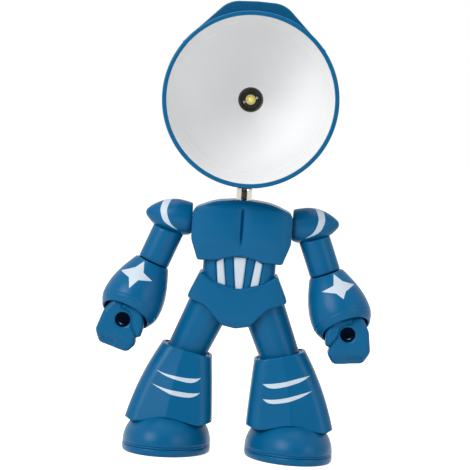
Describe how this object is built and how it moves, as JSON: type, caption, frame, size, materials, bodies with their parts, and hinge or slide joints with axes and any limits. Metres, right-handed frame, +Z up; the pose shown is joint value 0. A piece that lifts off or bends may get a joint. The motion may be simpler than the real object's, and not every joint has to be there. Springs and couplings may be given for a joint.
{
  "type": "robot shaped desk lamp",
  "caption": "Desk lamp shaped as a standing toy robot, with a round reflector head on a chrome neck, swinging arms, fists with a bore, flared boots and dome feet.",
  "frame": {"origin": "on the floor, half way between the feet, under the centre of the lamp's box", "axes": "+Z up, -Y the way the lamp faces, +X the robot's own left side"},
  "size_m": [0.1326, 0.06, 0.2173],
  "materials": {
    "blue_shell": "satin gloss moulded ABS, saturated mid blue",
    "deep_blue_shell": "satin gloss moulded ABS, deeper blue",
    "white_bowl": "satin white moulded bowl",
    "dark_holder": "dark grey moulded plastic",
    "board": "lacquered circuit board",
    "led": "yellow phosphor under clear resin",
    "tin": "tinned metal",
    "aluminium": "plain aluminium",
    "steel": "zinc plated steel",
    "button": "pale grey button",
    "chrome": "polished chrome plate",
    "cell_wrap": "silver grey pouch"
  },
  "bodies": {
    "root": {"chest_front": "blue_shell", "chest_back": "blue_shell", "waist_shell": "blue_shell", "pelvis_front": "blue_shell", "pelvis_back": "blue_shell", "neck_sleeve": "steel", "neck_bush": "dark_holder", "battery_pack": "cell_wrap", "charge_board": "board", "usb_socket": "tin", "torso_screws": "steel", "shoulder_axle_left": "steel", "shoulder_axle_right": "steel"},
    "neck_slider": {"neck_stop_ring": "dark_holder"},
    "neck": {"neck_tube": "chrome", "neck_knuckle": "dark_holder"},
    "head": {"shade_shell": "blue_shell", "crown_cowl": "deep_blue_shell", "reflector": "white_bowl", "led_holder": "dark_holder", "led_board": "board", "led_bead": "led", "led_leads": "tin", "led_heatsink": "aluminium", "rear_cap": "blue_shell", "rear_cap_screws": "steel", "switch_body": "dark_holder", "head_bracket": "blue_shell", "hinge_pin": "steel"},
    "button": {"switch_button": "button"},
    "arm_left": {"shoulder_pad_left": "blue_shell", "upper_arm_left": "blue_shell"},
    "forearm_left": {"gauntlet_left": "blue_shell"},
    "hand_left": {"hand_left": "blue_shell"},
    "leg_left": {"thigh_left": "blue_shell", "boot_left": "blue_shell"},
    "foot_left": {"foot_shell_left": "blue_shell", "foot_sole_left": "blue_shell"},
    "arm_right": {"shoulder_pad_right": "blue_shell", "upper_arm_right": "blue_shell"},
    "forearm_right": {"gauntlet_right": "blue_shell"},
    "hand_right": {"hand_right": "blue_shell"},
    "leg_right": {"thigh_right": "blue_shell", "boot_right": "blue_shell"},
    "foot_right": {"foot_shell_right": "blue_shell", "foot_sole_right": "blue_shell"}
  },
  "joints": [
    {"name": "neck_lift", "type": "slide", "parent": "root", "child": "neck_slider", "axis": [0, 0, 1], "range_m": [0, 0.027]},
    {"name": "head_turn", "type": "hinge", "parent": "neck_slider", "child": "neck", "pos_m": [0, 0, 0.1284], "axis": [0, 0, 1], "range_deg": [-150, 150]},
    {"name": "head_tilt", "type": "hinge", "parent": "neck", "child": "head", "pos_m": [0, 0, 0.1322], "axis": [-1, 0, 0], "range_deg": [-18, 50]},
    {"name": "switch_press", "type": "slide", "parent": "head", "child": "button", "axis": [0, -1, 0], "range_m": [0, 0.0012], "stiffness_N_per_m": 250, "springref_m": -0.0005},
    {"name": "shoulder_left", "type": "hinge", "parent": "root", "child": "arm_left", "pos_m": [0.0242, 0, 0.112], "axis": [1, 0, 0], "range_deg": [-90, 45]},
    {"name": "forearm_turn_left", "type": "hinge", "parent": "arm_left", "child": "forearm_left", "pos_m": [0.04139, 0, 0.09025], "axis": [-0.3665, 0, 0.9304], "range_deg": [-40, 40]},
    {"name": "wrist_left", "type": "hinge", "parent": "forearm_left", "child": "hand_left", "pos_m": [0.04661, -0.00344, 0.07851], "axis": [-0.3929, 0.2588, 0.8824], "range_deg": [-90, 90]},
    {"name": "hip_left", "type": "hinge", "parent": "root", "child": "leg_left", "pos_m": [0.0129, 0, 0.0715], "axis": [1, 0, 0], "range_deg": [-15, 15]},
    {"name": "foot_turn_left", "type": "hinge", "parent": "leg_left", "child": "foot_left", "pos_m": [0.0294, -0.002, 0.01], "axis": [0, 0, 1], "range_deg": [-20, 20]},
    {"name": "shoulder_right", "type": "hinge", "parent": "root", "child": "arm_right", "pos_m": [-0.0242, 0, 0.112], "axis": [1, 0, 0], "range_deg": [-90, 45]},
    {"name": "forearm_turn_right", "type": "hinge", "parent": "arm_right", "child": "forearm_right", "pos_m": [-0.04139, 0, 0.09025], "axis": [0.3665, 0, 0.9304], "range_deg": [-40, 40]},
    {"name": "wrist_right", "type": "hinge", "parent": "forearm_right", "child": "hand_right", "pos_m": [-0.04661, -0.00344, 0.07851], "axis": [0.3929, 0.2588, 0.8824], "range_deg": [-90, 90]},
    {"name": "hip_right", "type": "hinge", "parent": "root", "child": "leg_right", "pos_m": [-0.0129, 0, 0.0715], "axis": [1, 0, 0], "range_deg": [-15, 15]},
    {"name": "foot_turn_right", "type": "hinge", "parent": "leg_right", "child": "foot_right", "pos_m": [-0.0294, -0.002, 0.01], "axis": [0, 0, 1], "range_deg": [-20, 20]}
  ]
}
